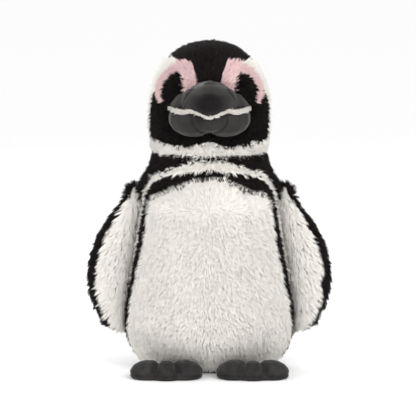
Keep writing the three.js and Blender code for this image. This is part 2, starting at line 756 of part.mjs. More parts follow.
function addHead() {
  const shell = headShell();
  const beak = addBeak(headCore(FUR));
  addEyes();
  const eyes = [-1, 1].map((side) => eyeSolid(side, SEAM_GAP)).reduce((sum, next) => sum.add(next));
  const washers = [-1, 1].map((side) => washerSolid(side, SEAM_GAP)).reduce((sum, next) => sum.add(next));
  const far = 500;
  const sides = [['left', mirrored], ['right', (outline) => outline]];
  let rest = shell.subtract(beak).subtract(eyes).subtract(washers);
  const take = (name, region, room, material) => {
    add(name, geometryOf(rest.intersect(region)), material);
    rest = rest.subtract(room);
  };
  for (const [name, place] of sides) {
    const outline = place(onHead(PINK_ARCH));
    take(`eye_patch_${name}`, sector(outline), sector(outline, SEAM_GAP), 'pink_fur');
  }
  for (const [name, place] of sides) {
    const outline = place(onHead(CHEEK));
    take(`cheek_panel_${name}`, sector(outline, -SEAM_GAP / 2), sector(outline, SEAM_GAP / 2), 'black_fur');
  }
  const chinOutlines = sides.map(([, place]) => place(onHead(CHIN)));
  const chin = (grow) => sector(chinOutlines[0], grow).add(sector(chinOutlines[1], grow));
  take('chin_panel', chin(0), chin(SEAM_GAP), 'white_fur');
  for (const [name, place] of sides) {
    const outline = place(onHead(BROW));
    take(`brow_panel_${name}`, sector(outline), sector(outline, SEAM_GAP), 'white_fur');
  }
  const front = boxSolid([-far, -far, -far], [far, HEAD_BACK_SEAM - SEAM_GAP / 2, far]);
  const back = boxSolid([-far, HEAD_BACK_SEAM + SEAM_GAP / 2, -far], [far, far, far]);
  add('crown_panel', geometryOf(rest.intersect(front)), 'black_fur');
  add('head_back_panel', geometryOf(rest.intersect(back)), 'black_fur');
  const stuffing = headCore(FUR + STUFFING_GAP).subtract(eyes).subtract(washers);
  add('head_stuffing', geometryOf(stuffing), 'stuffing');
}

// ---------- flippers ----------

// Share of the flipper's length below the hinge, then its width as a share of the greatest.
const FLIPPER_WIDTHS = [
  [0, 0.385], [0.06, 0.43], [0.13, 0.58], [0.22, 0.76], [0.3, 0.89], [0.4, 0.97], [0.5, 1], [0.65, 0.95],
  [0.8, 0.77], [0.91, 0.52], [0.97, 0.3], [1, 0.12],
];
const flipperWidths = new THREE.CubicInterpolant(
  FLIPPER_WIDTHS.map((row) => row[0]),
  FLIPPER_WIDTHS.map((row) => row[1]),
  1,
);
const HINGE_LEVEL = NECK_HEIGHT - SHOULDER_DROP;

const bodyHalfWidth = (z) => bodySection(z / NECK_HEIGHT).a;
const hingeOffset = () => bodyHalfWidth(HINGE_LEVEL) + FLIPPER_REST_GAP + FLIPPER_ROOT_RADIUS;

// The flipper's level section at a place along it, from -1 at the top of its round root over 0 at the hinge
// to 1 at its tip: height, middle, half width and half thickness.
function flipperSection(place) {
  if (place < 0) {
    const turn = -place * (Math.PI / 2);
    const half = FLIPPER_ROOT_RADIUS * Math.cos(turn);
    const thick = (FLIPPER_THICK / 2) * 0.62 * Math.cos(turn) ** 0.5;
    return { z: HINGE_LEVEL + FLIPPER_ROOT_RADIUS * Math.sin(turn), x: hingeOffset(), half, thick };
  }
  const z = HINGE_LEVEL - FLIPPER_LENGTH * place;
  const root = 2 * FLIPPER_ROOT_RADIUS * (1 - 8 * place);
  const width = Math.max(root, FLIPPER_WIDTH * flipperWidths.evaluate(place)[0]);
  const half = width / 2;
  const thick = (FLIPPER_THICK / 2) * Math.min(1, 0.62 + place) * Math.sqrt(1 - 0.93 * place ** 4);
  return { z, x: bodyHalfWidth(z) + FLIPPER_REST_GAP + half, half, thick };
}

// A point of a flipper: its angle runs from the body's side over the front to the outer edge and the back.
function flipperPoint(side, place, angle, inset) {
  const { z, x, half, thick } = flipperSection(place);
  const shrink = (size) => Math.max(size - inset, 0.3 * size);
  return new THREE.Vector3(
    side * (x - shrink(half) * Math.cos(rad(angle))),
    -shrink(thick) * Math.sin(rad(angle)),
    z,
  );
}

const FLIPPER_ENDS = [-0.72, 0.985]; // where the panels stop, short of the root's top and the tip
const FLIPPER_FRONT = [-12, 122]; // degrees round the section that the white panel covers
const FLIPPER_SEAM = 1.6; // degrees

function flipperPanel(side, [from, to]) {
  const surface = (inset) => (u, v) => {
    const place = lerp(FLIPPER_ENDS[0], FLIPPER_ENDS[1], v);
    return flipperPoint(side, place, lerp(from + FLIPPER_SEAM, to - FLIPPER_SEAM, u), inset);
  };
  const around = Math.round((to - from) / 30);
  return panel(surface(0), surface(FLIPPER_FABRIC), around, 12);
}

function flipperStuffing(side) {
  const inset = FLIPPER_FABRIC + STUFFING_GAP;
  const [top, tip] = [0.08, 0.86];
  const levels = 5;
  const rings = [];
  const middle = (place) => () => {
    const { z, x } = flipperSection(place);
    return new THREE.Vector3(side * x, 0, z);
  };
  rings.push(middle(top - 0.01));
  for (let k = 0; k <= levels; k += 1) {
    const place = lerp(top, tip, k / levels);
    rings.push((turn) => flipperPoint(side, place, THREE.MathUtils.radToDeg(turn), inset));
  }
  rings.push(middle(tip + 0.01));
  return loft(rings, 12);
}

function addFlippers() {
  for (const [name, side] of [['left', -1], ['right', 1]]) {
    const back = [FLIPPER_FRONT[1], FLIPPER_FRONT[0] + 360];
    add(`flipper_inner_${name}`, flipperPanel(side, FLIPPER_FRONT), 'white_fur');
    add(`flipper_outer_${name}`, flipperPanel(side, back), 'black_fur');
    add(`flipper_stuffing_${name}`, flipperStuffing(side), 'stuffing');
  }
}

// ---------- feet ----------

// A foot's lobes: three toes and a flatter pad behind them.
function footLobes(side) {
  const middle = (side * FOOT_SPACING) / 2;
  const toeHalf = FOOT_WIDTH * 0.26;
  const toeStep = (FOOT_WIDTH - 2 * toeHalf) / 2;
  const toeLength = FOOT_LENGTH * 0.47;
  const front = -(FOOT_HEEL + FOOT_LENGTH);
  const level = FOOT_HEIGHT * 0.29;
  const toes = [-1, 0, 1].map((k) => ({
    at: [middle + k * toeStep, front + toeLength + 4 * Math.abs(k), level],
    size: [toeHalf, toeLength, FOOT_HEIGHT - level],
  }));
  const padLength = FOOT_LENGTH * 0.45;
  const pad = {
    at: [middle, -(FOOT_HEEL + padLength), level / 2],
    size: [FOOT_WIDTH * 0.47, padLength, FOOT_HEIGHT * 0.62],
  };
  return [...toes, pad];
}

function addFeet() {
  const far = 500;
  const sole = boxSolid([-far, -far, 0], [far, far, SOLE_THICK]);
  const above = boxSolid([-far, -far, SOLE_THICK + SEAM_GAP], [far, far, far]);
  const inside = boxSolid([-far, -far, SOLE_THICK + 2 * SEAM_GAP], [far, far, far]);
  for (const [name, side] of [['left', -1], ['right', 1]]) {
    const list = footLobes(side);
    const outer = lobes(list);
    const skin = outer.subtract(lobes(list, -VELOUR)).intersect(above);
    add(`foot_upper_${name}`, geometryOf(skin), 'velour');
    add(`foot_sole_${name}`, geometryOf(outer.intersect(sole)), 'velour');
    const core = lobes(list, -VELOUR - STUFFING_GAP / 2).intersect(inside);
    add(`foot_stuffing_${name}`, geometryOf(core), 'stuffing');
  }
}

addBody();
add('neck_stuffing', neckPad(), 'stuffing');
addHead();
addFlippers();
addFeet();

export default penguin;
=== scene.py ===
"""A standing plush penguin: pile, velour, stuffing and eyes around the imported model.

Lengths are in metres. -Y is the way the face looks and +Z is up. Left is the side of -X.
"""

import json
import math

import bmesh
import bpy
import numpy as np
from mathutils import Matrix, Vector, noise
from mathutils.bvhtree import BVHTree
from mathutils.kdtree import KDTree


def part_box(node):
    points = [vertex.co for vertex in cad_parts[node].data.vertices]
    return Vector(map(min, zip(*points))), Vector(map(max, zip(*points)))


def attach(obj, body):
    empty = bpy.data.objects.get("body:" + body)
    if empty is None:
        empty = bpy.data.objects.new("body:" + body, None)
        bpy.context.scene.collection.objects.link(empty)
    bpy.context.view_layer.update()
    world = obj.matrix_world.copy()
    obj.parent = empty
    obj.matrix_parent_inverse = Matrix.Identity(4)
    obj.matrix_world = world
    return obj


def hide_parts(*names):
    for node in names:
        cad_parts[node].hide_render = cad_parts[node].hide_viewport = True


MM = 0.001
SIDES = ("left", "right")
PILE_DEPTH = 4.0 * MM  # from the tips down to the cloth that the pile stands on
SHOULDER_PILE = 8.0 * MM  # how much longer the pile is round the shoulders
BEAK_REACH = 4.5 * MM  # how far from the beak the pile leans over to it
CLOTH_REACH = 3.6 * MM  # the inner faces of the panels are nearer than this to the stuffing
TINT_STEPS = 48  # tints a piece's pile is sorted into
SEED = 11
noise.seed_set(SEED)  # its vectors would otherwise start from the clock

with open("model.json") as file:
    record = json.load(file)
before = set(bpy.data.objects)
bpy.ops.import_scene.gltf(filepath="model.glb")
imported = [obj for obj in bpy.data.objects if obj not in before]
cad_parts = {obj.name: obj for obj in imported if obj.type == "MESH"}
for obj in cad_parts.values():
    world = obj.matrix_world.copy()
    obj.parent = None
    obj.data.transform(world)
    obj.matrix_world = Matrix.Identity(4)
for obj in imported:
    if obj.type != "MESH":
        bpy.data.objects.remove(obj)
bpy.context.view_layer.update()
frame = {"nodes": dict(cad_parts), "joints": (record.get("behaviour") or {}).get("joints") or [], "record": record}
NODES = frame["nodes"]
NODE_BODY = {name: body for body, names in frame["record"]["behaviour"]["bodies"].items() for name in names}
NODE_SLOT = {row["node"]: row["material_slot"] for row in frame["record"]["subparts"]}
HINGES = {joint["name"]: np.array(joint["pos_m"]) for joint in frame["joints"]}


# Camera, light and floor

def add_camera():
    data = bpy.data.cameras.new("camera")
    data.lens = 250
    data.sensor_width = 36
    camera = bpy.data.objects.new("camera", data)
    bpy.context.scene.collection.objects.link(camera)
    target = Vector((-0.0015, 0, 0.161))
    rise = math.radians(6)
    camera.location = target + 2.89 * Vector((0, -math.cos(rise), math.sin(rise)))
    camera.rotation_euler = (target - camera.location).to_track_quat("-Z", "Y").to_euler()
    bpy.context.scene.camera = camera


def add_softbox(name, place, size, power):
    data = bpy.data.lights.new(name, "AREA")
    data.shape = "DISK"
    data.size = size
    data.energy = power
    light = bpy.data.objects.new(name, data)
    bpy.context.scene.collection.objects.link(light)
    light.location = place
    light.rotation_euler = (Vector((0, 0, 0.18)) - light.location).to_track_quat("-Z", "Y").to_euler()


def add_light():
    world = bpy.data.worlds.new("studio")
    bpy.context.scene.world = world
    world.use_nodes = True
    bpy.context.scene.view_settings.view_transform = "Standard"
    background = world.node_tree.nodes["Background"]
    background.inputs["Color"].default_value = (1, 1, 1, 1)
    background.inputs["Strength"].default_value = 1.0
    add_softbox("key", Vector((0.7, -1.3, 1.0)), 1.2, 13)
    add_softbox("fill", Vector((-0.9, -1.5, 0.3)), 1.2, 10)
    add_softbox("rim", Vector((-0.5, 1.3, 1.4)), 1.0, 10)


def add_floor():
    bm = bmesh.new()
    bmesh.ops.create_grid(bm, x_segments=8, y_segments=8, size=30)
    mesh = bpy.data.meshes.new("floor")
    bm.to_mesh(mesh)
    bm.free()
    floor = bpy.data.objects.new("floor", mesh)
    bpy.context.scene.collection.objects.link(floor)
    material, shader = new_material("floor")
    shader.inputs["Base Color"].default_value = (0.97, 0.97, 0.97, 1)
    shader.inputs["Roughness"].default_value = 0.9
    mesh.materials.append(material)


# Materials

def new_material(name):
    material = bpy.data.materials.new(name)
    material.use_nodes = True
    return material, material.node_tree.nodes["Principled BSDF"]


def link(material, source, target):
    material.node_tree.links.new(source, target)


def add_node(material, kind, **inputs):
    node = material.node_tree.nodes.new(kind)
    for name, value in inputs.items():
        node.inputs[name].default_value = value
    return node


def rgb(colour):
    return (*colour, 1.0)


def add_ramp(material, source, stops):
    ramp = material.node_tree.nodes.new("ShaderNodeValToRGB")
    elements = ramp.color_ramp.elements
    for element, (place, colour) in zip(elements, (stops[0], stops[-1])):
        element.position = place
        element.color = rgb(colour)
    for place, colour in stops[1:-1]:
        elements.new(place).color = rgb(colour)
    link(material, source, ramp.inputs["Fac"])
    return ramp.outputs["Color"]


def add_multiply(material, first, second):
    mix = material.node_tree.nodes.new("ShaderNodeMix")
    mix.data_type = "RGBA"
    mix.blend_type = "MULTIPLY"
    mix.inputs["Factor"].default_value = 1
    link(material, first, mix.inputs["A"])
    link(material, second, mix.inputs["B"])
    return mix.outputs["Result"]


def attribute(material, name):
    node = material.node_tree.nodes.new("ShaderNodeAttribute")
    node.attribute_name = name
    return node.outputs["Fac"]


def fur_material(name, dark, light, root, sheen, shine=0.25):
    """Pile: the tint of each strand runs from dark to light, and every strand is painted darker at its root, painted
    shade deep in the pile.
    """
    material, shader = new_material(name)
    tint = add_ramp(material, attribute(material, "tint"), [(0, dark), (1, light)])
    shade = (root, root, root)
    # Painted shade: the colour falls to root times itself at the root and on the cloth, for the shade between the
    # strands.
    along = add_ramp(material, attribute(material, "along"), [(0, shade), (0.75, (1, 1, 1))])
    link(material, add_multiply(material, tint, along), shader.inputs["Base Color"])
    shader.inputs["Roughness"].default_value = 0.8
    shader.inputs["Specular IOR Level"].default_value = shine
    shader.inputs["Sheen Weight"].default_value = sheen
    shader.inputs["Sheen Roughness"].default_value = 0.5
    return material


def object_noise(material, scale, detail=4.0, roughness=0.6):
    place = material.node_tree.nodes.new("ShaderNodeTexCoord")
    node = add_node(material, "ShaderNodeTexNoise", Scale=scale, Detail=detail, Roughness=roughness)
    link(material, place.outputs["Object"], node.inputs["Vector"])
    return node.outputs["Fac"]


def add_bump(material, shader, height, strength, distance):
    bump = add_node(material, "ShaderNodeBump", Strength=strength, Distance=distance)
    link(material, height, bump.inputs["Height"])
    link(material, bump.outputs["Normal"], shader.inputs["Normal"])


def velour_material():
    """Short dense pile: broad brushed patches, fine grain and a sheen that lights the rims, with painted shade and
    painted sheen multiplied into the colour.
    """
    material, shader = new_material("velour")
    dark = (0.013, 0.0118, 0.0115)
    light = (0.024, 0.022, 0.0215)
    brushed = add_ramp(material, object_noise(material, 38, 3), [(0.3, dark), (0.72, light)])
    # Painted shade and painted sheen: where the attribute is 0 the colour is darkened to 0.22 of itself, and where it
    # is 1 it is lightened to 1.6.
    wear_and_painted_shading = add_ramp(material, attribute(material, "wear"), [(0, (0.22, 0.2, 0.2)), (0.5, (1, 1, 1)), (1, (1.6, 1.6, 1.6))])
    link(material, add_multiply(material, brushed, wear_and_painted_shading), shader.inputs["Base Color"])
    add_bump(material, shader, object_noise(material, 1800, 2), 0.35, 0.0004)
    shader.inputs["Roughness"].default_value = 0.9
    shader.inputs["Specular IOR Level"].default_value = 0.2
    shader.inputs["Sheen Weight"].default_value = 0.16
    shader.inputs["Sheen Roughness"].default_value = 0.3
    shader.inputs["Sheen Tint"].default_value = rgb((0.9, 0.88, 0.86))
    return material


def woven_material(name, dark, light, pitch):
    """Plain woven cloth: crossing threads by two wave textures, with uneven dyeing."""
    material, shader = new_material(name)
    place = material.node_tree.nodes.new("ShaderNodeTexCoord")
    threads = []
    for direction in ("X", "Y"):
        wave = add_node(material, "ShaderNodeTexWave", Scale=1 / pitch, Distortion=0.4)
        wave.bands_direction = direction
        link(material, place.outputs["Object"], wave.inputs["Vector"])
        threads.append(wave.outputs["Color"])
    weave = add_multiply(material, *threads)
    dye = add_ramp(material, object_noise(material, 60), [(0.3, dark), (0.7, light)])
    shade = add_ramp(material, weave, [(0, (0.7, 0.7, 0.7)), (1, (1, 1, 1))])
    link(material, add_multiply(material, dye, shade), shader.inputs["Base Color"])
    add_bump(material, shader, weave, 0.5, 0.0003)
    shader.inputs["Roughness"].default_value = 0.9
    return material


def fibre_material():
    """Loose polyester fibre, matted in places."""
    material, shader = new_material("stuffing")
    matted = add_ramp(material, object_noise(material, 90, 6, 0.7), [(0.3, (0.62, 0.61, 0.58)), (0.7, (0.88, 0.87, 0.84))])
    link(material, matted, shader.inputs["Base Color"])
    add_bump(material, shader, object_noise(material, 700, 6, 0.8), 0.8, 0.001)
    shader.inputs["Roughness"].default_value = 1.0
    shader.inputs["Sheen Weight"].default_value = 0.3
    return material


def plastic_material():
    """Moulded gloss black plastic with faint wear."""
    material, shader = new_material("plastic")
    wear_and_painted_shading = add_ramp(material, object_noise(material, 300), [(0.3, (0.003, 0.003, 0.003)), (0.7, (0.009, 0.008, 0.008))])
    link(material, wear_and_painted_shading, shader.inputs["Base Color"])
    shader.inputs["Roughness"].default_value = 0.12
    shader.inputs["Coat Weight"].default_value = 0.4
    return material


# Meshes

def arrays_of(*nodes):
    """Points and triangles of the CAD nodes, welded, in the same order on every run."""
    corners = []
    for node in nodes:
        mesh = NODES[node].data
        mesh.calc_loop_triangles()
        rows = np.empty(len(mesh.loop_triangles) * 3, np.int32)
        mesh.loop_triangles.foreach_get("vertices", rows)
        corners.append(coordinates(mesh)[rows])
    points, rows = np.unique(np.round(np.concatenate(corners), 6), axis=0, return_inverse=True)
    triangles = rows.reshape(-1, 3)
    a, b, c = triangles.T
    return points, triangles[(a != b) & (b != c) & (c != a)]


def tree_of(*nodes):
    return BVHTree.FromPolygons(*[rows.tolist() for rows in arrays_of(*nodes)])


def mesh_of(name, points, triangles):
    mesh = bpy.data.meshes.new(name)
    mesh.vertices.add(len(points))
    mesh.vertices.foreach_set("co", np.asarray(points, np.float32).ravel())
    mesh.loops.add(triangles.size)
    mesh.loops.foreach_set("vertex_index", np.asarray(triangles, np.int32).ravel())
    mesh.polygons.add(len(triangles))
    mesh.polygons.foreach_set("loop_start", np.arange(0, triangles.size, 3, dtype=np.int32))
    mesh.update(calc_edges=True)
    return mesh


def unit(vectors):
    return vectors / np.maximum(np.linalg.norm(vectors, axis=-1, keepdims=True), 1e-12)


def dot(first, second):
    return (first * second).sum(-1, keepdims=True)


def face_normals(points, triangles):
    a, b, c = (points[triangles[:, k]] for k in range(3))
    cross = np.cross(b - a, c - a)
    return unit(cross), 0.5 * np.linalg.norm(cross, axis=1)


def outer_faces(points, triangles, core, shell):
    """The triangles that are away from the stuffing and have nothing of the same body in front of them."""
    far = np.array([core.find_nearest(Vector(p))[3] for p in points]) > CLOTH_REACH
    normals, _ = face_normals(points, triangles)
    centres = points[triangles].mean(1)
    free = [shell.ray_cast(Vector(c + 0.05 * MM * n), Vector(n))[0] is None for c, n in zip(centres, normals)]
    return far[triangles].all(1) & np.array(free)


def smooth_normals(points, own, centres, normals, areas, reach):
    """A normal for each point from the faces round it, on either side of a seam."""
    tree = KDTree(len(centres))
    for index, centre in enumerate(centres):
        tree.insert(Vector(centre), index)
    tree.balance()
    result = np.empty_like(points)
    for index, point in enumerate(points):
        hits = tree.find_range(Vector(point), reach) or [tree.find(Vector(point))]
        rows = np.array([hit[1] for hit in hits])
        distance = np.array([hit[2] for hit in hits])
        agree = np.maximum(normals[rows] @ own[index] + 0.2, 0)
        weight = areas[rows] * np.exp(-((1.6 * distance / reach) ** 2)) * agree
        result[index] = (normals[rows] * weight[:, None]).sum(0) + 1e-9 * own[index]
    return unit(result)


class Coat:
    """The outer faces of the panels sewn round one piece of stuffing."""

    def __init__(self, core, panels, reach=12 * MM):
        core_tree = tree_of(core)
        shell = tree_of(core, *panels)
        self.panels = {}
        for name in panels:
            points, triangles = arrays_of(name)
            outer = triangles[outer_faces(points, triangles, core_tree, shell)]
            self.panels[name] = [points, triangles, outer]
        faces = [(*face_normals(p, outer), p[outer].mean(1)) for p, _, outer in self.panels.values()]
        normals, areas, centres = (np.concatenate([face[k] for face in faces]) for k in range(3))
        for entry in self.panels.values():
            points, _, outer = entry
            own = np.zeros_like(points)
            own_normals, own_areas = face_normals(points, outer)
            for corner in range(3):
                np.add.at(own, outer[:, corner], own_normals * own_areas[:, None])
            used = np.unique(outer)
            result = np.zeros_like(points)
            result[used] = smooth_normals(points[used], unit(own[used]), centres, normals, areas, reach)
            entry.append(result)


def boundary_tree(points, triangles, step=1.5 * MM):
    """A tree of points along the open edges of a patch."""
    edges = np.sort(triangles[:, [[0, 1], [1, 2], [2, 0]]].reshape(-1, 2), axis=1)
    pairs, counts = np.unique(edges, axis=0, return_counts=True)
    places = []
    for a, b in points[pairs[counts == 1]]:
        count = max(1, int(np.linalg.norm(b - a) / step))
        places.extend(a + (b - a) * (k + 0.5) / count for k in range(count))
    tree = KDTree(len(places))
    for index, place in enumerate(places):
        tree.insert(Vector(place), index)
    tree.balance()
    return tree


def scatter(points, triangles, normals, density, rng):
    """Places on the rounded surface of a patch, with their normals."""
    _, areas = face_normals(points, triangles)
    count = max(40, int(areas.sum() * density / MM**2))
    reach = (np.arange(count) + rng.random(count)) / count * areas.sum()
    chosen = triangles[np.minimum(np.searchsorted(np.cumsum(areas), reach), len(areas) - 1)]
    root = np.sqrt(rng.random(count))
    share = rng.random(count)
    weights = np.stack([1 - root, root * (1 - share), root * share], 1)[:, :, None]
    corners = points[chosen]
    corner_normals = normals[chosen]
    flat = (corners * weights).sum(1)
    planes = flat[:, None] - dot(flat[:, None] - corners, corner_normals) * corner_normals
    places = flat + 0.75 * ((planes * weights).sum(1) - flat)
    return places, unit((corner_normals * weights).sum(1))


def nearest_of(places, targets):
    tree = KDTree(len(targets))
    for index, place in enumerate(targets):
        tree.insert(Vector(place), index)
    tree.balance()
    return np.array([tree.find(Vector(place))[1] for place in places])


def strand_offsets(normals, lean, length):
    """Where a strand's middle and tip are from its root: it starts upright and bends over."""
    middle = unit(normals + 0.6 * lean) * length * 0.5
    return middle, middle + unit(normals + 1.45 * lean) * length * 0.5


def strand_mesh(name, roots, middles, tips, normals, width, shading, rng):
    """Three-sided spikes of two lengths each. Rows of seven points: root ring, middle ring, tip."""
    count = len(roots)
    axis = unit(tips - roots)
    side = unit(np.cross(axis, unit(rng.normal(size=(count, 3)))))
    cross = np.cross(axis, side)
    angles = np.arange(3) * 2 * math.pi / 3
    ring = np.cos(angles)[None, :, None] * side[:, None] + np.sin(angles)[None, :, None] * cross[:, None]
    half = (width / 2)[:, None, None]
    points = np.concatenate(
        [roots[:, None] + ring * half, middles[:, None] + ring * half * 0.8, tips[:, None]], axis=1
    )
    soft = normals[:, None]
    radial = np.concatenate([ring, ring, axis[:, None]], axis=1)
    shades = unit(shading * soft + (1 - shading) * radial)
    faces = []
    for k in range(3):
        n = (k + 1) % 3
        faces += [[k, n, n + 3], [k, n + 3, k + 3], [k + 3, n + 3, 6]]
    triangles = (np.array(faces)[None] + 7 * np.arange(count)[:, None, None]).reshape(-1, 3)
    return points.reshape(-1, 3), triangles, shades.reshape(-1, 3)


class Style:
    """How the pile of a panel grows. Lean and splay are shares of a strand's upright part."""

    def __init__(self, density, over, width=0.75, lean=0.5, jitter=0.35, splay=0.5, clump=9, pull=0.4, **extra):
        self.density = density
        self.over = over * MM
        self.width = width * MM
        self.lean = lean
        self.jitter = jitter
        self.splay = splay
        self.clump = clump
        self.pull = pull
        self.vary = extra.get("vary", 0.2)
        self.swirl = extra.get("swirl", 0.5)
        self.longer = extra.get("longer")
        self.shorter = extra.get("shorter")
        self.shading = extra.get("shading", 0.8)
        self.tone = extra.get("tone", 0.5)
        self.mottle = extra.get("mottle", 0.13)
        self.close = extra.get("close", 1.4)
        self.reach = extra.get("reach", 7) * MM
        self.depth = extra.get("depth", PILE_DEPTH / MM) * MM


def tangent(vectors, normals):
    return vectors - dot(vectors, normals) * normals


def edge_pull(places, normals, tree, reach):
    """A vector towards the nearest seam, longest at the seam."""
    result = np.zeros_like(places)
    for index, place in enumerate(places):
        hit, _, distance = tree.find(Vector(place))
        if distance < reach:
            result[index] = (np.array(hit) - place) / max(distance, 1e-6) * (1 - distance / reach)
    return tangent(result, normals)


def beak_pull(places, normals):
    """A vector towards the beak, longest beside it, so that the pile closes up to the beak."""
    beak = tree_of("beak_upper", "beak_lower")
    result = np.zeros_like(places)
    for index, place in enumerate(places):
        hit, _, _, distance = beak.find_nearest(Vector(place))
        result[index] = (np.array(hit) - place) / max(distance, 1e-6) * math.exp(-((distance / BEAK_REACH) ** 2))
    return tangent(result, normals)


def slow_field(places, size):
    """A vector that changes slowly over the cloth."""
    return np.array([noise.noise_vector(Vector(p) / size)[:] for p in places])


def grow(points, outer, normals, style, nap, tone, rng):
    """Strands over a patch as points, triangles, shading normals and tint steps."""
    places, ups = scatter(points, outer, normals, style.density, rng)
    count = len(places)
    middle_of = rng.choice(count, max(4, count // style.clump), replace=False)
    clump = middle_of[nearest_of(places, places[middle_of])]
    splay = edge_pull(places, ups, boundary_tree(points, outer), style.reach)
    wander = tangent(rng.normal(size=(count, 3)), ups)
    lean = style.lean * unit(tangent(nap(places), ups)) + style.splay * splay
    lean += style.jitter * (0.6 * wander[clump] + 0.35 * wander)
    lean += style.swirl * tangent(slow_field(places, 16 * MM), ups)
    lean += style.close * beak_pull(places, ups)
    bend = np.linalg.norm(lean, axis=1)
    size = 1 + style.vary * (0.7 * rng.normal(size=count)[clump] + 0.7 * rng.normal(size=count))
    upright = (style.depth + style.over) * np.clip(size, 0.55, 1.6)
    if style.longer:
        upright = upright + style.longer(places)
    length = (upright * np.sqrt(1 + np.minimum(bend, 1.4) ** 2 * 0.7))[:, None]
    if style.shorter:
        upright = upright * style.shorter(places)
        length = length * style.shorter(places)[:, None]
    roots = places - ups * style.depth
    middle, tip = strand_offsets(ups, lean, length)
    pull = (style.pull * (0.6 + 0.4 * rng.random(count)))[:, None]
    middles = roots + middle + 0.35 * pull * (roots[clump] + middle[clump] - roots - middle)
    tips = roots + tip + pull * (roots[clump] + tip[clump] - roots - tip)
    tips[:, 2] = np.maximum(tips[:, 2], 0.4 * MM)
    middles[:, 2] = np.maximum(middles[:, 2], 0.8 * MM)
    width = style.width * (0.75 + 0.5 * rng.random(count))
    mesh_points, triangles, shades = strand_mesh("", roots, middles, tips, ups, width, style.shading, rng)
    mottle = rng.normal(size=count)[clump] + rng.normal(size=count)
    tints = style.tone + 1.9 * style.mottle * tone(places) + style.mottle * mottle
    steps = np.clip((tints * TINT_STEPS).astype(int), 0, TINT_STEPS - 1)
    return mesh_points, triangles, shades, steps


def fur_piece(name, points, triangles, outer, normals, style, nap, tone, rng):
    """One panel: its cloth, sunk below the tips, and the pile on it, in one mesh."""
    cloth = points - normals * style.depth
    strands, faces, shades, steps = grow(points, outer, normals, style, nap, tone, rng)
    cloth_normals = np.where(np.abs(normals).sum(1, keepdims=True) > 0, normals, [[0, 0, 1.0]])
    mesh = mesh_of(name, np.concatenate([cloth, strands]), np.concatenate([triangles, faces + len(cloth)]))
    # 0 on the cloth and the roots, where the material paints shade.
    along = np.concatenate([np.zeros(len(cloth)), np.tile([0, 0, 0, 0.6, 0.6, 0.6, 1], len(steps))])
    tint = np.concatenate([np.full(len(cloth), 0.5), np.repeat((steps + 0.5) / TINT_STEPS, 7)])
    for label, values in (("along", along), ("tint", tint)):
        layer = mesh.attributes.new(label, "FLOAT", "POINT")
        layer.data.foreach_set("value", values.astype(np.float32))
    column = 0.04 + 0.96 * steps / TINT_STEPS
    u = np.array([0.15, 0.5, 0.85, 0.15, 0.5, 0.85, 0.5]) * 0.96 / TINT_STEPS
    v = np.array([0.02, 0.02, 0.02, 0.6, 0.6, 0.6, 0.98])
    strand_uv = np.stack([column[:, None] + u[None], np.tile(v, (len(steps), 1))], 2).reshape(-1, 2)
    cloth_uv = np.tile([[0.004, 0.004], [0.03, 0.004], [0.004, 0.03]], (len(triangles), 1))
    uv = np.concatenate([cloth_uv, strand_uv[faces.ravel()]])
    mesh.uv_layers.new(name="OFBake").data.foreach_set("uv", uv.astype(np.float32).ravel())
    mesh.polygons.foreach_set("use_smooth", np.ones(len(mesh.polygons), bool))
    mesh.normals_split_custom_set_from_vertices(np.concatenate([cloth_normals, shades]).tolist())
    piece = bpy.data.objects.new(name, mesh)
    bpy.context.scene.collection.objects.link(piece)
    return piece


def place_piece(piece, material, *nodes, fill=None):
    piece.data.materials.clear()
    piece.data.materials.append(material)
    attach(piece, NODE_BODY[nodes[0]])
    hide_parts(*nodes)


# Pile

BEAK_ROOT = np.array([0, -0.055, 0.283])


def nap_down(spread):
    """Pile brushed down, and outwards from the middle."""
    return lambda p: np.stack([spread * np.sign(p[:, 0]), 0 * p[:, 0], -np.ones(len(p))], 1)


def nap_belly(p):
    """Pile brushed down, but up and outwards along the top of the belly."""
    rise = np.clip((p[:, 2] - 0.153) / 0.022, 0, 1)
    outward = 0.35 * np.clip(p[:, 0] / (6 * MM), -1, 1)
    return np.stack([outward + 6 * p[:, 0] * rise, 0 * p[:, 0], 2 * rise - 1], 1)


def nap_cheek(p):
    """Pile brushed down, but out from the eye into the pink above it."""
    result = nap_down(0.5)(p)
    for side in SIDES:
        away = p - eye_centre(side)
        near = np.exp(-((np.linalg.norm(away, axis=1) / (15 * MM)) ** 2)) * np.clip(away[:, 2] / (5 * MM) + 1, 0, 1)
        result += (4 * near)[:, None] * unit(away)
    return result


def eye_centre(side):
    low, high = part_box("eye_" + side)
    return np.array((low + high) / 2)


def nap_from_beak(p):
    return p - BEAK_ROOT


def shoulder(p):
    """Longer pile round the shoulders, in metres."""
    top = HINGES["flipper_left_lift"][2] + 8 * MM
    level = np.exp(-(((p[:, 2] - top) / (15 * MM)) ** 2))
    out = np.clip((np.abs(p[:, 0]) - 0.045) / 0.018, 0, 1)
    return SHOULDER_PILE * level * out


def nap_shoulder(p):
    """Pile brushed down, and outwards where it covers the top of the flippers."""
    out = 0.3 + 1.1 * shoulder(p) / SHOULDER_PILE
    return np.stack([out * np.sign(p[:, 0]), 0 * p[:, 0], -np.ones(len(p))], 1)


def over_eyes(p):
    """Longer pile round the eyes, in tufts, which covers them."""
    result = np.zeros(len(p))
    tufts = np.array([noise.noise(Vector(q) / (2.2 * MM)) for q in p])
    for side in SIDES:
        distance = np.linalg.norm(p - eye_centre(side), axis=1)
        result += (2.5 + 6 * tufts) * MM * np.exp(-((distance / (14 * MM)) ** 4))
    return result


def nap_flipper(side):
    """Pile combed down and outwards to the flipper's edge."""
    return lambda p: np.stack([np.full(len(p), 0.75 * side), 0.1 + 0 * p[:, 0], -np.ones(len(p))], 1)


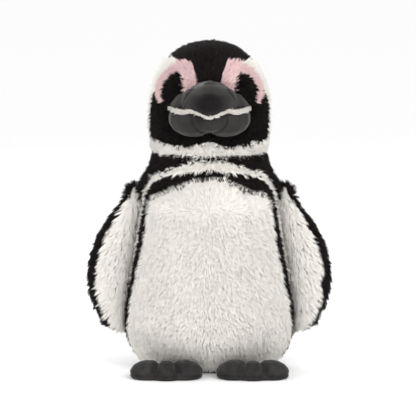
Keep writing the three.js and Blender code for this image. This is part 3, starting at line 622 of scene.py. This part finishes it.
def nap_flipper_back(side):
    """The black pile of a flipper: as the white one's, but up and in to the body on the root."""
    def nap(p):
        root = flipper_root(p)
        return nap_flipper(side)(p) + np.stack([-1.5 * side * root, -1.0 * root, 0.9 * root], 1)
    return nap


def flipper_root(p):
    """1 on the round root of a flipper and 0 from its shoulder down."""
    return np.clip((p[:, 2] - HINGES["flipper_left_lift"][2] + 8 * MM) / (8 * MM), 0, 1)


def even_tone(p):
    return np.zeros(len(p))


def patchy(scale, size):
    """Slow changes of tint over the cloth."""
    return lambda p: np.array([size * noise.noise(Vector(q) * scale) for q in p])


def grow_coats(white, black, pink):
    rng = np.random.default_rng(SEED)
    torso = Coat("body_stuffing", [name for name in frame_names("torso") if is_fur(name)])
    styles = {
        "belly_panel": (
            Style(
                1.28, 1.2, width=0.6, lean=0.75, jitter=0.12, splay=0.35, pull=0.1,
                swirl=0.3, mottle=0.05, shading=0.93,
            ),
            nap_belly,
            white,
        ),
        "chest_stripe_white": (Style(1.7, 1.8, width=0.55, lean=0.3, jitter=0.3, splay=0.6), nap_down(0.5), white),
        "chest_stripe_black": (Style(1.5, 1.2, lean=0.4, jitter=0.35, splay=0.2), nap_down(0.3), black),
        "collar_panel": (Style(1.3, 1.2, lean=0.5, jitter=0.4, splay=0.25, longer=shoulder), nap_shoulder, black),
        "back_panel": (Style(0.65, 1.0, width=1.0, lean=0.7, jitter=0.4, splay=0.3, longer=shoulder), nap_shoulder, black),
        "crown_panel": (Style(1.8, -0.4, width=0.6, lean=0.8, jitter=0.2, splay=0.1), nap_from_beak, black),
        "head_back_panel": (Style(0.8, 0.0, width=0.9, lean=0.6, jitter=0.3, splay=0.3), nap_down(0.1), black),
        "brow_panel": (Style(1.9, 2.6, width=0.55, lean=0.7, jitter=0.22, splay=0.35), nap_from_beak, white),
        "eye_patch": (Style(2.4, 0.8, width=0.5, lean=0.5, jitter=0.2, splay=0.2), nap_from_beak, pink),
        "cheek_panel": (
            # tone=0.25 paints the cheek pile darker than the other black pile: painted shade.
            Style(1.8, 0.8, width=0.65, lean=0.5, jitter=0.35, splay=0.4, longer=over_eyes, tone=0.25),
            nap_cheek,
            black,
        ),
        "chin_panel": (Style(1.8, 1.6, width=0.55, lean=0.35, jitter=0.35, splay=0.55), nap_down(0.5), white),
    }
    head = Coat("head_stuffing", [name for name in frame_names("head") if is_fur(name)])
    for coat in (torso, head):
        grow_coat(coat, styles, rng)
    for side, sign in zip(SIDES, (-1, 1)):
        coat = Coat("flipper_stuffing_" + side, ["flipper_inner_" + side, "flipper_outer_" + side], 8 * MM)
        flipper = {
            "flipper_inner": (
                Style(
                    1.7, 2.8, width=0.55, lean=1.15, jitter=0.18, splay=0.3, clump=12, pull=0.45,
                    shorter=lambda p: 1 - 0.75 * flipper_root(p),
                ),
                nap_flipper(sign),
                white,
            ),
            "flipper_outer": (
                Style(1.3, 2.2, lean=0.9, jitter=0.35, splay=0.2, longer=lambda p: 1.5 * MM * flipper_root(p)),
                nap_flipper_back(sign),
                black,
            ),
        }
        grow_coat(coat, flipper, rng)
    tail = Coat("tail_stuffing", ["tail_upper_panel", "tail_lower_panel"], 6 * MM)
    back = (Style(0.9, 0.6, lean=0.9, jitter=0.35, splay=0.4), lambda p: np.tile([0, 1.0, 0], (len(p), 1)), black)
    grow_coat(tail, {"tail_upper_panel": back, "tail_lower_panel": back}, rng)


def frame_names(body):
    return frame["record"]["behaviour"]["bodies"][body]


def is_fur(name):
    return NODE_SLOT[name].endswith("_fur") and not name.startswith("tail")


def grow_coat(coat, styles, rng):
    for name, (points, triangles, outer, normals) in coat.panels.items():
        style, nap, material = styles[name.replace("_left", "").replace("_right", "")]
        tone = patchy(45, 0.25)
        piece = fur_piece(name + "_pile", points, triangles, outer, normals, style, nap, tone, rng)
        place_piece(piece, material, name, fill=0.8)


# Stuffed velour, stuffing and trim

def joined_copy(name, *nodes):
    points, triangles = arrays_of(*nodes)
    piece = bpy.data.objects.new(name, mesh_of(name, points, triangles))
    bpy.context.scene.collection.objects.link(piece)
    return piece


def apply_modifiers(piece):
    bpy.context.view_layer.update()
    graph = bpy.context.evaluated_depsgraph_get()
    mesh = bpy.data.meshes.new_from_object(piece.evaluated_get(graph))
    piece.modifiers.clear()
    old = piece.data
    piece.data = mesh
    bpy.data.meshes.remove(old)


def remesh(piece, voxel, smooth=6):
    modifier = piece.modifiers.new("remesh", "REMESH")
    modifier.mode = "VOXEL"
    modifier.voxel_size = voxel
    relax = piece.modifiers.new("smooth", "SMOOTH")
    relax.factor = 0.5
    relax.iterations = smooth
    apply_modifiers(piece)


def coordinates(mesh):
    values = np.empty(len(mesh.vertices) * 3, np.float32)
    mesh.vertices.foreach_get("co", values)
    return values.reshape(-1, 3).astype(float)


def set_coordinates(mesh, points):
    mesh.vertices.foreach_set("co", np.asarray(points, np.float32).ravel())
    mesh.update()


def vertex_normals(mesh):
    values = np.empty(len(mesh.vertices) * 3, np.float32)
    mesh.vertices.foreach_get("normal", values)
    return values.reshape(-1, 3).astype(float)


def inflate(piece, pressure, cap, frames=20):
    """Cloth pressure swells the closed piece. No point moves further than cap."""
    scene = bpy.context.scene
    before = coordinates(piece.data)
    cloth = piece.modifiers.new("cloth", "CLOTH")
    cloth.settings.use_pressure = True
    cloth.settings.uniform_pressure_force = pressure
    cloth.settings.quality = 5
    cloth.settings.effector_weights.gravity = 0
    cloth.point_cache.frame_start = 1
    cloth.point_cache.frame_end = frames
    for number in range(1, frames + 1):
        scene.frame_set(number)
    apply_modifiers(piece)
    scene.frame_set(1)
    moved = coordinates(piece.data) - before
    size = np.linalg.norm(moved, axis=1, keepdims=True)
    set_coordinates(piece.data, before + moved * np.minimum(1, cap / np.maximum(size, 1e-9)))


def subdivide(piece, levels=1):
    modifier = piece.modifiers.new("subdivision", "SUBSURF")
    modifier.levels = levels
    modifier.render_levels = levels
    apply_modifiers(piece)
    piece.data.polygons.foreach_set("use_smooth", np.ones(len(piece.data.polygons), bool))


def stuffed(name, voxel, nodes, cap=2.5 * MM, pressure=4.0):
    piece = joined_copy(name, *nodes)
    remesh(piece, voxel, 3)
    inflate(piece, pressure, cap)
    subdivide(piece)
    return piece


# Stores the painted light and shade that the velour multiplies into its colour.
def set_painted_light_and_shade(piece, values):
    layer = piece.data.attributes.new("wear", "FLOAT", "POINT")
    layer.data.foreach_set("value", np.asarray(values, np.float32))


def groove(distance, width, depth):
    """The depth of a sewn line at a distance from it."""
    return depth * np.exp(-((distance / width) ** 2))


def sink(piece, depths):
    """Moves the points of a piece in along their normals."""
    set_coordinates(piece.data, coordinates(piece.data) - vertex_normals(piece.data) * depths[:, None])


def oval(points, centre, half_width, half_height):
    """How far points are outside an oval seen from the front, as a share of its size."""
    return np.hypot(points[:, 0] / half_width, (points[:, 2] - centre) / half_height) - 1


def shape_upper_beak(piece):
    """Draws the top to a ridge, sews the middle to the side flaps, and paints shade on the middle and along the seam,
    with painted sheen lighter towards the rims.
    """
    low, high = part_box("beak_upper")
    mouth = high.z - 29.5 * MM
    points = coordinates(piece.data)
    drop = groove(np.abs(points[:, 0]) - 13 * MM, 7 * MM, 0.12) * np.clip((points[:, 2] - mouth) / (20 * MM), 0, 1)
    points[:, 2] -= drop * (points[:, 2] - mouth)
    set_coordinates(piece.data, points)
    seam = oval(points, mouth, 27.5 * MM, 27 * MM)
    sink(piece, groove(seam, 0.035, 1.5 * MM) + groove(seam - 0.15, 0.03, 0.6 * MM))
    middle = oval(points, mouth + 9 * MM, 17 * MM, 11 * MM)
    # Painted shade: darker on the forward-facing middle and along the seam groove; painted sheen: lighter out towards
    # the rims.
    set_painted_light_and_shade(piece, np.clip(0.5 + 1.2 * middle, 0, 1) * np.clip(1.2 - groove(seam, 0.05, 0.5), 0, 1))


def shape_lower_beak(piece):
    """Sews the round chin between the two side lobes."""
    low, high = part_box("beak_lower")
    points = coordinates(piece.data)
    chin = oval(points, low.z + 19 * MM, 17 * MM, 15 * MM)
    below = np.clip((high.z - 5 * MM - points[:, 2]) / (3 * MM), 0, 1)
    cleft = groove(points[:, 0], 2.5 * MM, 1.5 * MM) * np.clip(chin * 8, 0, 1)
    sink(piece, groove(chin, 0.06, 1.6 * MM) * below + cleft)
    # Painted shade: darker along the chin's seam groove.
    set_painted_light_and_shade(piece, 0.75 * np.clip(1.1 - groove(chin, 0.09, 0.5), 0, 1))


def add_beak(velour):
    for part, shape in (("upper", shape_upper_beak), ("lower", shape_lower_beak)):
        nodes = ["beak_" + part, "beak_" + part + "_stuffing"]
        piece = stuffed("beak_" + part + "_cover", 1.7 * MM, nodes, 0.8 * MM)
        shape(piece)
        place_piece(piece, velour, "beak_" + part, fill=0.85)


def shape_foot(piece, side):
    """Two creases between the toes and a seam round the lower edge."""
    low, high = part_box("foot_upper_" + side)
    points = coordinates(piece.data)
    middle = (low.x + high.x) / 2
    along = np.clip((high.y - points[:, 1]) / (high.y - low.y), 0, 1)
    upper = np.clip((points[:, 2] - 4 * MM) / (4 * MM), 0, 1)
    depths = np.zeros(len(points))
    for turn in (-1, 1):
        line = middle + turn * (4 + 9 * along) * MM
        depths += groove(points[:, 0] - line, 2.6 * MM, 3.6 * MM) * np.clip(2.2 * along - 0.2, 0, 1)
        fold = middle + turn * (9 + 16 * along) * MM
        depths += groove(points[:, 0] - fold, 1.5 * MM, 0.7 * MM) * np.clip(2 * along - 0.5, 0, 1)
    hem = groove(points[:, 2] - 4.2 * MM, 1.0 * MM, 0.8 * MM)
    wrinkle = np.array([noise.noise(Vector((p[0], p[1] * 0.4, p[2])) / (6 * MM)) for p in points])
    sink(piece, depths * upper + hem - 0.5 * MM * wrinkle * upper)
    floor = coordinates(piece.data)
    floor[:, 2] = np.maximum(floor[:, 2], 0.1 * MM)
    set_coordinates(piece.data, floor)
    # Painted light and shade: lighter where the wrinkle noise raises the cloth, darker in the hem's groove.
    set_painted_light_and_shade(piece, 0.75 + 0.4 * wrinkle - 0.3 * hem / (0.8 * MM))


def add_foot(side, velour):
    nodes = ["foot_upper_" + side, "foot_sole_" + side, "foot_stuffing_" + side]
    whole = stuffed("foot_" + side, 1.7 * MM, nodes, 0.8 * MM)
    shape_foot(whole, side)
    upper = tree_of(nodes[0])
    sole = tree_of(nodes[1])
    for name, mine, other in (("upper", upper, sole), ("sole", sole, upper)):
        part = keep_nearer(whole, "foot_" + name + "_" + side + "_cover", mine, other)
        place_piece(part, velour, "foot_" + name + "_" + side, fill=0.8)
    bpy.data.objects.remove(whole)


def keep_nearer(whole, name, mine, other):
    """The faces of a pad that lie nearer one CAD part than another."""
    bm = bmesh.new()
    bm.from_mesh(whole.data)
    far = []
    for face in bm.faces:
        centre = face.calc_center_median()
        if mine.find_nearest(centre)[3] > other.find_nearest(centre)[3]:
            far.append(face)
    bmesh.ops.delete(bm, geom=far, context="FACES")
    mesh = bpy.data.meshes.new(name)
    bm.to_mesh(mesh)
    bm.free()
    piece = bpy.data.objects.new(name, mesh)
    bpy.context.scene.collection.objects.link(piece)
    return piece


def add_inner(name, material, voxel, lump, fill, inset=0):
    """Stuffing, pellets and other inner pieces: lumpy, rounded and just inside their CAD solid."""
    piece = joined_copy(name + "_fill", name)
    remesh(piece, voxel, 4)
    points = coordinates(piece.data)
    normals = vertex_normals(piece.data)
    height = np.array([noise.noise(Vector(p) / (9 * MM)) for p in points])
    set_coordinates(piece.data, points + normals * (lump * (height - 1) - inset)[:, None])
    piece.data.polygons.foreach_set("use_smooth", np.ones(len(piece.data.polygons), bool))
    place_piece(piece, material, name, fill=fill)


def add_trim(material, rng):
    """The pale strip in the mouth, with short fuzz on its outer face."""
    points, triangles = arrays_of("mouth_trim")
    normals, _ = face_normals(points, triangles)
    centres = points[triangles].mean(1)
    away = unit(centres - np.array([0, -0.045, centres[:, 2].mean()]))
    outer = triangles[dot(normals, away)[:, 0] > 0.25]
    used = np.unique(outer)
    ups = np.zeros_like(points)
    face_up, areas = face_normals(points, outer)
    for corner in range(3):
        np.add.at(ups, outer[:, corner], face_up * areas[:, None])
    ups[used] = unit(ups[used])
    style = Style(7.0, 0.1, width=0.4, lean=0.3, jitter=0.7, splay=0.3, clump=6, depth=1.9, reach=2, close=0)
    piece = fur_piece("mouth_trim_fuzz", points, triangles, outer, ups, style, nap_down(0.6), even_tone, rng)
    place_piece(piece, material, "mouth_trim")


def finish_eyes(plastic):
    for part in ("eye", "eye_washer"):
        for side in SIDES:
            node = NODES[part + "_" + side]
            node.data.materials.clear()
            node.data.materials.append(plastic)
            bevel = node.modifiers.new("bevel", "BEVEL")
            bevel.width = 0.3 * MM
            bevel.segments = 2


def add_inside(fibre, pellets, base):
    for name in frame["nodes"]:
        if NODE_SLOT[name] == "stuffing":
            packed = name.startswith(("foot", "beak", "head"))
            add_inner(name, fibre, (2.5 if packed else 3.5) * MM, 0.4 * MM, 0.7, 2.5 * MM if packed else 0)
    add_inner("pellet_bag", pellets, 2.5 * MM, 0.4 * MM, 0.9)
    add_inner("base_panel", base, 1.2 * MM, 0.05 * MM, 0.2)


def main():
    add_camera()
    add_light()
    add_floor()
    white = fur_material("white_fur", (0.9, 0.865, 0.805), (0.98, 0.95, 0.895), 0.85, 0.1)
    black = fur_material("black_fur", (0.003, 0.002, 0.002), (0.02, 0.0145, 0.0145), 0.5, 0.01, 0.1)
    pink = fur_material("pink_fur", (0.72, 0.49, 0.49), (0.92, 0.68, 0.68), 0.65, 0.2)
    trim = fur_material("trim", (0.6, 0.57, 0.52), (0.85, 0.82, 0.77), 0.8, 0.1)
    velour = velour_material()
    grow_coats(white, black, pink)
    add_beak(velour)
    for side in SIDES:
        add_foot(side, velour)
    add_trim(trim, np.random.default_rng(SEED + 1))
    add_inside(
        fibre_material(),
        woven_material("pellet_cloth", (0.5, 0.48, 0.43), (0.62, 0.6, 0.54), 0.8 * MM),
        woven_material("base_cloth", (0.012, 0.01, 0.011), (0.03, 0.026, 0.027), 0.7 * MM),
    )
    finish_eyes(plastic_material())


main()
